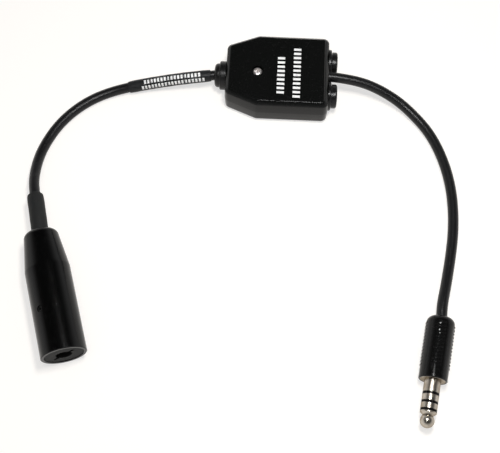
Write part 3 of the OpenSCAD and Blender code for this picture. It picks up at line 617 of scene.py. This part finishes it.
box_black = moulded("box_black", (0.0045, 0.0048, 0.0046), (0.03, 0.03, 0.03), gloss=0.20, change=0.08,
                    wear=0.2, grain=2600.0, relief=0.006 * MM, specular=0.2)
dress("housing_upper", box_black, edge=0.15 * MM)
dress("housing_lower", box_black, edge=0.15 * MM)

PANEL_TOP = 16.7 * MM
BAR_LENGTH, BAR_WIDTH, BAR_STEP = 3.6 * MM, 1.3 * MM, 2.45 * MM


def panel_bar(x, y):
    """A bar on the panel round its centre: its length lies along the box, its width across."""
    def patch(u, v, lift):
        return Vector((x + (u - 0.5) * BAR_LENGTH, y + (v - 0.5) * BAR_WIDTH, PANEL_TOP + lift))
    return patch


right_row = [panel_bar(9.6 * MM, 11.3 * MM - BAR_STEP * i) for i in range(12)]
left_row = [panel_bar(1.8 * MM, 5.9 * MM - BAR_STEP * i) for i in range(9)]
ink_dashes("panel_bars", right_row + left_row, across=1)


# ---- Gland and blanking plugs ----
# Soft black rubber mouldings pressed into the box's end walls: a gland round the left cord and
# two plugs that close the spare holes.

rubber_black = moulded("rubber_black", (0.006, 0.006, 0.006), (0.03, 0.03, 0.03), gloss=0.30, wear=0.5,
                       grain=1600.0)
for fitting in ("cord_gland", "blanking_plug_far", "blanking_plug_near"):
    dress(fitting, rubber_black, turned=True)


# ---- Housing screw ----
# A zinc-plated steel screw that holds the two halves together from above. Its domed head has a
# cross recess, pressed in when the blank was headed, and its shank a coarse rolled thread.

screw_at = Vector((-9.7, -1.5, 15.0)) * MM
screw_zinc = moulded("screw_zinc", (0.86, 0.82, 0.80), (0.40, 0.29, 0.26), gloss=0.42, change=0.3, wear=1.0,
                     grain=2200.0, relief=0.04 * MM, metallic=1.0)


def recess_depth(x, y, arm=1.35, width=0.36, deep=0.75, slope=0.22, turn=25):
    """Depth of the cross recess at a place on the head, in millimetres."""
    inside = -math.inf
    for a in (math.radians(turn), math.radians(turn + 90)):
        along = abs(x * math.cos(a) + y * math.sin(a))
        across = abs(-x * math.sin(a) + y * math.cos(a))
        inside = max(inside, min(arm - along, width - across))
    return deep * min(1.0, max(0.0, inside / slope))


def thread_rows(shank=11.5, core_r=1.15, tooth=0.28, pitch=1.0, point=1.0, neck=1.5, steps=100, sides=96):
    """Rings of (x, y, z) in millimetres up the shank. The thread fades out at the point and the neck."""
    for i in range(steps + 1):
        z = -shank + shank * i / steps
        fade = min(1.0, (z + shank) / point, max(0.0, -z / neck))
        row = []
        for a in full_turn(sides):
            phase = (z / pitch - a / (2 * math.pi)) % 1.0
            r = core_r + tooth * fade * (1 - abs(2 * phase - 1))
            row.append((r * math.cos(a), r * math.sin(a), z))
        yield row


def head_rows(head_r=2.3, flank=0.35, top=1.2, roundness=0.6, steps=40, sides=96):
    """Rings up the head: its chamfered flank, then its dome with the recess pressed in."""
    chamfer_r, chamfer_h = 0.15, 0.12
    for r, z in ((head_r - chamfer_r, 0.0), (head_r, chamfer_h), (head_r, flank)):
        yield [(r * math.cos(a), r * math.sin(a), z) for a in full_turn(sides)]
    for i in range(1, steps):
        r = head_r * (1 - i / steps)
        z = flank + (top - flank) * (1 - (r / head_r) ** 2) ** roundness
        row = [(r * math.cos(a), r * math.sin(a)) for a in full_turn(sides)]
        yield [(x, y, z - recess_depth(x, y)) for x, y in row]


def make_screw():
    mesh = bmesh.new()
    rows = [*thread_rows(), *head_rows()]
    rings = [[mesh.verts.new(screw_at + Vector(point) * MM) for point in row] for row in rows]
    join_rings(mesh, rings, capped=True)
    return new_piece("cross_head_screw", mesh, screw_zinc)


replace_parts(make_screw(), "housing_screw")


# ---- Board ----
# A green glass-laminate board with a matching transformer, an amplifier chip and small parts,
# soldered by hand and closed inside the box. Four wires come to it from each cord.

def along_axis(group, axis):
    """A place on the surface, and its distance along an axis."""
    dot = group.nodes.new("ShaderNodeVectorMath")
    dot.operation = "DOT_PRODUCT"
    place = group.nodes.new("ShaderNodeTexCoord").outputs["Object"]
    group.links.new(place, dot.inputs[0])
    group.links.new(axis, dot.inputs[1])
    return place, dot.outputs["Value"]


def make_layered_skin():
    """Skin of what is stacked, wound or banded: a line of another colour at every step along an axis."""
    group, takes, gives = new_skin("layered_skin", [
        ("Colour", COLOUR, (0.2, 0.2, 0.2, 1)), ("Line Colour", COLOUR, (0.05, 0.05, 0.05, 1)),
        ("Axis", VECTOR, (0, 0, 1)), ("Lines per metre", FLOAT, 2000.0), ("Line Share", FLOAT, 0.3),
        ("Gloss", FLOAT, 0.4)])
    place, along = along_axis(group, takes["Axis"])
    step = math_node(group, "FRACT", math_node(group, "MULTIPLY", along, takes["Lines per metre"]))
    line = math_node(group, "LESS_THAN", step, takes["Line Share"])
    # Each layer is highest in its middle
    from_middle = math_node(group, "SUBTRACT", math_node(group, "MULTIPLY", step, 2.0), 1.0)
    crown = math_node(group, "SUBTRACT", 1.0, math_node(group, "ABSOLUTE", from_middle))
    cloud = noise_node(group, place, 400.0, detail=3)
    return finish_skin(group, gives, mixed(group, line, takes["Colour"], takes["Line Colour"]),
                       plus_share(group, takes["Gloss"], either_way(group, cloud), 0.3), crown)


def make_board_skin():
    """Solder mask over copper tracks, and bare rows of pads between them."""
    group, takes, gives = new_skin("board_skin", [
        ("Colour", COLOUR, (0.03, 0.14, 0.06, 1)), ("Track Colour", COLOUR, (0.05, 0.24, 0.10, 1)),
        ("Tracks per metre", FLOAT, 90.0), ("Gloss", FLOAT, 0.3)])
    place = group.nodes.new("ShaderNodeTexCoord").outputs["Object"]
    tracks = group.nodes.new("ShaderNodeTexBrick")
    tracks.inputs["Mortar Size"].default_value = 0.035
    tracks.inputs["Mortar Smooth"].default_value = 0.1
    group.links.new(place, tracks.inputs["Vector"])
    group.links.new(takes["Tracks per metre"], tracks.inputs["Scale"])
    track = tracks.outputs["Fac"]
    cloud = noise_node(group, place, 300.0, detail=3)
    return finish_skin(group, gives, mixed(group, track, takes["Colour"], takes["Track Colour"]),
                       plus_share(group, takes["Gloss"], cloud, 0.2), track)


layered_skin = make_layered_skin()
dress("circuit_board", skinned("board_green", make_board_skin(), {
    "Colour": (0.03, 0.14, 0.06, 1), "Track Colour": (0.05, 0.24, 0.10, 1), "Tracks per metre": 90.0,
    "Gloss": 0.25}, relief=0.04 * MM))
dress("transformer_core", skinned("core_sheets", layered_skin, {
    "Colour": (0.30, 0.30, 0.31, 1), "Line Colour": (0.10, 0.07, 0.05, 1), "Axis": (0, 1, 0),
    "Lines per metre": 2800.0, "Line Share": 0.25, "Gloss": 0.42}, relief=0.05 * MM, metallic=0.9))
dress("transformer_coil", skinned("coil_turns", layered_skin, {
    "Colour": (0.45, 0.14, 0.05, 1), "Line Colour": (0.16, 0.04, 0.015, 1), "Axis": (0, 0, 1),
    "Lines per metre": 4200.0, "Line Share": 0.22, "Gloss": 0.25}, relief=0.08 * MM))
dress("capacitors", skinned("can_sleeves", layered_skin, {
    "Colour": (0.04, 0.06, 0.20, 1), "Line Colour": (0.45, 0.47, 0.52, 1), "Axis": (0, 0, 1),
    "Lines per metre": 71.0, "Line Share": 0.06, "Gloss": 0.28}, relief=0.01 * MM))
dress("resistors", skinned("resistor_bands", layered_skin, {
    "Colour": (0.60, 0.47, 0.26, 1), "Line Colour": (0.22, 0.06, 0.03, 1), "Axis": (1, 0, 0),
    "Lines per metre": 850.0, "Line Share": 0.35, "Gloss": 0.32}, relief=0.01 * MM))
dress("amplifier_chip", moulded("chip_black", (0.02, 0.02, 0.021), (0.05, 0.05, 0.05), gloss=0.55,
                                grain=4000.0), edge=0.08 * MM)
dress("cord_ties", moulded("tie_nylon", (0.62, 0.62, 0.57), (0.52, 0.51, 0.45), gloss=0.40), edge=0.08 * MM)


def make_wire_jackets(*colours):
    """The jackets of wires that each have one of a few colours."""
    jackets = moulded("wire_jackets", (0.70, 0.70, 0.68), (0.60, 0.59, 0.55), gloss=0.35)
    tree = jackets.node_tree
    ramp = tree.nodes.new("ShaderNodeValToRGB")
    ramp.color_ramp.interpolation = "CONSTANT"
    stops = ramp.color_ramp.elements
    stops.remove(stops[1])
    for i, colour in enumerate(colours):
        stop = stops.new(i / len(colours)) if i else stops[0]
        stop.color = (*colour, 1)
    tree.links.new(tree.nodes.new("ShaderNodeNewGeometry").outputs["Random Per Island"], ramp.inputs["Fac"])
    tree.links.new(ramp.outputs["Color"], tree.nodes["Principled BSDF"].inputs["Base Color"])
    return jackets


white, red, blue, yellow = (0.72, 0.72, 0.70), (0.55, 0.02, 0.015), (0.02, 0.09, 0.42), (0.65, 0.42, 0.03)
wires = make_wire_jackets(white, red, blue, yellow)
for leads in ("board_leads", "socket_leads", "plug_leads"):
    dress(leads, wires)


# ---- Barrel socket ----
# A turned and polished black shell with a grey insert in its mouth, held by a black grub screw in
# the shell's side. Four brass leaves reach forward from a block inside and press on the plug.

barrel_black = moulded("barrel_black", (0.0013, 0.0013, 0.0014), (0.012, 0.012, 0.012), gloss=0.20,
                       change=0.10, grain=900.0, relief=0.006 * MM, specular=0.2)
dress("socket_barrel", barrel_black, turned=True)
dress("socket_insert", moulded("insert_grey", (0.013, 0.014, 0.014), (0.03, 0.03, 0.03), gloss=0.55,
                               specular=0.1), edge=0.15 * MM)
dress("contact_block", moulded("block_dark", (0.02, 0.02, 0.021), (0.05, 0.05, 0.05), gloss=0.5),
      edge=0.1 * MM)


def make_turned_skin():
    """Bright metal turned on a lathe: fine lines across an axis, with faint tarnish in patches."""
    group, takes, gives = new_skin("turned_skin", [
        ("Colour", COLOUR, (0.7, 0.7, 0.7, 1)), ("Tarnish", COLOUR, (0.4, 0.35, 0.3, 1)),
        ("Axis", VECTOR, (0, 0, 1)), ("Lines per metre", FLOAT, 9000.0), ("Gloss", FLOAT, 0.15),
        ("Tarnish Share", FLOAT, 0.4)])
    place, along = along_axis(group, takes["Axis"])
    lines = group.nodes.new("ShaderNodeTexNoise")
    lines.noise_dimensions = "1D"
    lines.inputs["Detail"].default_value = 3.0
    group.links.new(along, lines.inputs["W"])
    group.links.new(takes["Lines per metre"], lines.inputs["Scale"])
    patches = peaks(group, noise_node(group, place, 260.0, detail=4), level=0.42, gain=3.0)
    tarnished = math_node(group, "MULTIPLY", patches, takes["Tarnish Share"], clamp=True)
    return finish_skin(group, gives, mixed(group, tarnished, takes["Colour"], takes["Tarnish"]),
                       plus_share(group, takes["Gloss"], tarnished, 0.25), lines.outputs["Fac"])


turned_skin = make_turned_skin()
leaf_brass = skinned("leaf_brass", turned_skin, {
    "Colour": (0.78, 0.58, 0.28, 1), "Tarnish": (0.42, 0.26, 0.11, 1), "Axis": tuple(socket_out),
    "Lines per metre": 6000.0, "Gloss": 0.24, "Tarnish Share": 0.5}, relief=0.004 * MM, metallic=1.0)
for contact in ("contact_tails", "sleeve_contact", "ring_1_contact", "ring_2_contact", "tip_contact"):
    dress(contact, leaf_brass)

grub_black = moulded("grub_black", (0.01, 0.01, 0.01), (0.06, 0.055, 0.05), gloss=0.35, metallic=0.6)


def make_grub(back=20.6, turn=122, sides=48):
    """The grub screw, so many millimetres back from the rim and turned up by degrees from level."""
    # (radius, distance from the socket's axis) in millimetres, from its foot up and down its socket
    outside = ((0.6, 8.2), (1.15, 8.5), (1.32, 8.7), (1.32, 9.55), (1.18, 9.7))
    hexagon = ((0.62, 9.7), (0.58, 9.6), (0.55, 8.9))
    level = Vector((-socket_out.y, socket_out.x, 0))
    out_of = level * math.cos(math.radians(turn)) + Vector((0, 0, 1)) * math.sin(math.radians(turn))
    across = out_of.cross(socket_out)
    mesh = bmesh.new()

    def ring(radius, height, six_sided):
        row = []
        for a in full_turn(sides):
            reach = radius / math.cos(a % (math.pi / 3) - math.pi / 6) if six_sided else radius
            row.append(mesh.verts.new(on_socket(-back) + out_of * height * MM
                                      + (socket_out * math.cos(a) + across * math.sin(a)) * reach * MM))
        return row

    rings = [ring(radius, height, False) for radius, height in outside]
    rings += [ring(radius, height, True) for radius, height in hexagon]
    join_rings(mesh, rings, capped=True)
    new_piece("grub_screw", mesh, grub_black, smooth=False)


make_grub()


# ---- Plug ----
# A moulded black handle with four columns of grip ribs, and a finger of four nickel-plated brass
# conductors, turned and parted by black collars. The body screws into the handle.

handle_black = moulded("handle_black", (0.0045, 0.0045, 0.0045), (0.03, 0.03, 0.03), gloss=0.12,
                       change=0.06, relief=0.004 * MM, specular=0.2)
dress("plug_handle", handle_black, turned=True)
plug_nickel = skinned("plug_nickel", turned_skin, {
    "Colour": (0.50, 0.46, 0.40, 1), "Tarnish": (0.28, 0.22, 0.16, 1), "Axis": tuple(plug_out),
    "Lines per metre": 9000.0, "Gloss": 0.27, "Tarnish Share": 0.8}, relief=0.006 * MM, metallic=1.0,
    edge_tint=(0.42, 0.38, 0.33))
for piece in ("plug_body", "plug_ring_1", "plug_ring_2", "plug_tip"):
    dress(piece, plug_nickel, turned=True)
dress("plug_insulators", moulded("collar_black", (0.005, 0.004, 0.004), (0.02, 0.015, 0.015), gloss=0.55,
                                 specular=0.08), turned=True)


# ---- Cord lengths ----
# The socket with its sleeves, contacts and wires belongs to one cord, and the plug to the other.
# Here the length of each cord's line is worked out, and not kept.

line_length(socket_line)
line_length(plug_line)
